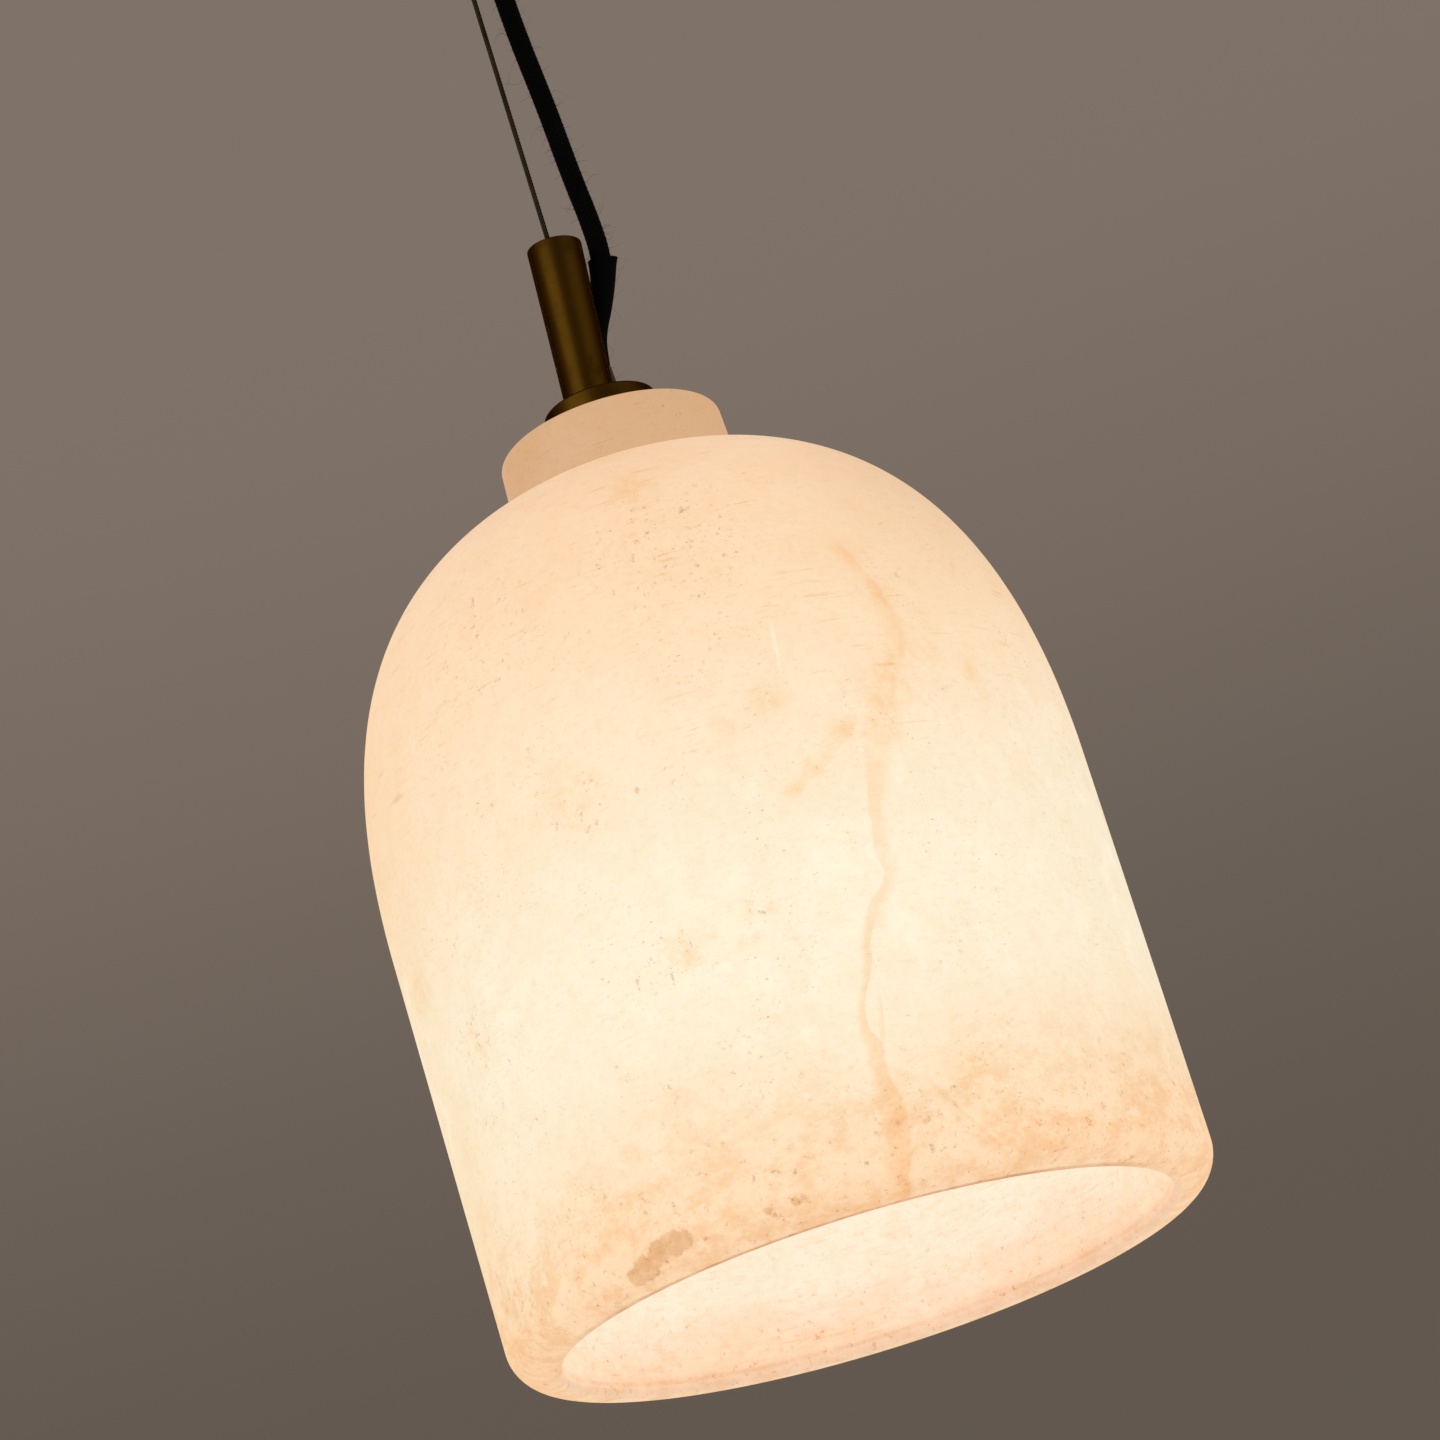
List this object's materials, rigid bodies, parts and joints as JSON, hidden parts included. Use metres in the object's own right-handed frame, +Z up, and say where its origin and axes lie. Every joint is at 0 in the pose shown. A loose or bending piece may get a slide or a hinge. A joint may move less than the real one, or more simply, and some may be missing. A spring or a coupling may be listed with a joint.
{
  "type": "bell pendant lamp",
  "caption": "Bell-shaped stone pendant lamp, open below, hung from a ceiling canopy by a thin wire with its cord beside it.",
  "frame": {"origin": "centre of the crossbar's top face, where it meets the ceiling box", "axes": "+Z up out of the ceiling, X along the crossbar, Y away from the viewer"},
  "size_m": [0.2118, 0.2118, 0.497],
  "materials": {
    "alabaster": "polished, lit from inside",
    "aged_brass": "satin, darkened",
    "contact_brass": "bright",
    "zinc_steel": "zinc plated",
    "spring_steel": "ground",
    "wire_rope": "stranded, bright",
    "earth_green": "green plated",
    "black_textile": "braided, matt",
    "black_shrink": "shrunk tube",
    "black_rubber": "moulded",
    "oxblood_rubber": "moulded, dark red-brown",
    "lead_sleeve": "heat resisting sleeve",
    "nylon_white": "moulded",
    "porcelain": "glazed",
    "bulb_glass": "clear",
    "black_vitrite": "glassy",
    "filament_yellow": "phosphor coated"
  },
  "bodies": {
    "ceiling": {"crossbar": "zinc_steel", "nipple": "zinc_steel", "nipple_nut": "zinc_steel", "earth_screw": "earth_green", "terminal_block": "nylon_white", "block_screws": "zinc_steel", "canopy_leads": "lead_sleeve", "gripper_barrel": "aged_brass", "gripper_spring": "spring_steel", "wire_tail": "wire_rope", "power_cord": "black_textile"},
    "canopy": {"canopy": "aged_brass", "canopy_screws": "aged_brass", "cord_bushing": "black_rubber", "bushing_nut": "black_rubber"},
    "plunger": {"gripper_plunger": "aged_brass", "gripper_balls": "spring_steel"},
    "wire_bend": {"wire_bend": "wire_rope"},
    "hanger_wire": {"suspension_wire": "wire_rope", "wire_ferrule": "zinc_steel"},
    "lamp": {"hanger_stud": "aged_brass", "flange": "aged_brass", "flange_gasket": "black_rubber", "cord_gland": "black_rubber", "cord_relief": "oxblood_rubber", "heat_shrink": "black_shrink", "alabaster_bell": "alabaster", "bell_washer": "black_rubber", "clamp_plate": "zinc_steel", "lamp_nipple": "zinc_steel", "clamp_nut": "zinc_steel", "holder_bracket": "zinc_steel", "bracket_nut": "zinc_steel", "holder_screws": "zinc_steel", "lampholder": "porcelain", "screw_shell": "contact_brass", "centre_contact": "contact_brass", "holder_terminals": "contact_brass", "lamp_leads": "lead_sleeve"},
    "sleeve": {"stem_sleeve": "aged_brass"},
    "bulb": {"bulb_glass": "bulb_glass", "bulb_shell": "contact_brass", "bulb_insulator": "black_vitrite", "bulb_tip": "zinc_steel", "bulb_stem": "bulb_glass", "led_filaments": "filament_yellow"}
  },
  "joints": [
    {"name": "canopy_drop", "type": "slide", "parent": "ceiling", "child": "canopy", "axis": [0, 0, -1], "range_m": [0, 0.03]},
    {"name": "plunger_press", "type": "slide", "parent": "ceiling", "child": "plunger", "axis": [0, 0, 1], "range_m": [0, 0.0025], "stiffness_N_per_m": 400, "springref_m": -0.003, "deforming": ["gripper_spring"]},
    {"name": "wire_swing_x", "type": "hinge", "parent": "ceiling", "child": "wire_bend", "pos_m": [0, 0, -0.0562], "axis": [1, 0, 0], "range_deg": [-12, 12], "deforming": ["power_cord"]},
    {"name": "wire_swing_y", "type": "hinge", "parent": "wire_bend", "child": "hanger_wire", "pos_m": [0, 0, -0.0602], "axis": [0, 1, 0], "range_deg": [-12, 12], "deforming": ["power_cord"]},
    {"name": "lamp_twist", "type": "hinge", "parent": "hanger_wire", "child": "lamp", "pos_m": [0, 0, -0.1821], "axis": [0, 0, 1], "range_deg": [-30, 30], "deforming": ["power_cord"]},
    {"name": "sleeve_lift", "type": "slide", "parent": "lamp", "child": "sleeve", "axis": [0, 0, 1], "range_m": [0, 0.045]},
    {"name": "bulb_out", "type": "slide", "parent": "lamp", "child": "bulb", "axis": [0, 0, -1], "range_m": [0, 0.2]}
  ]
}
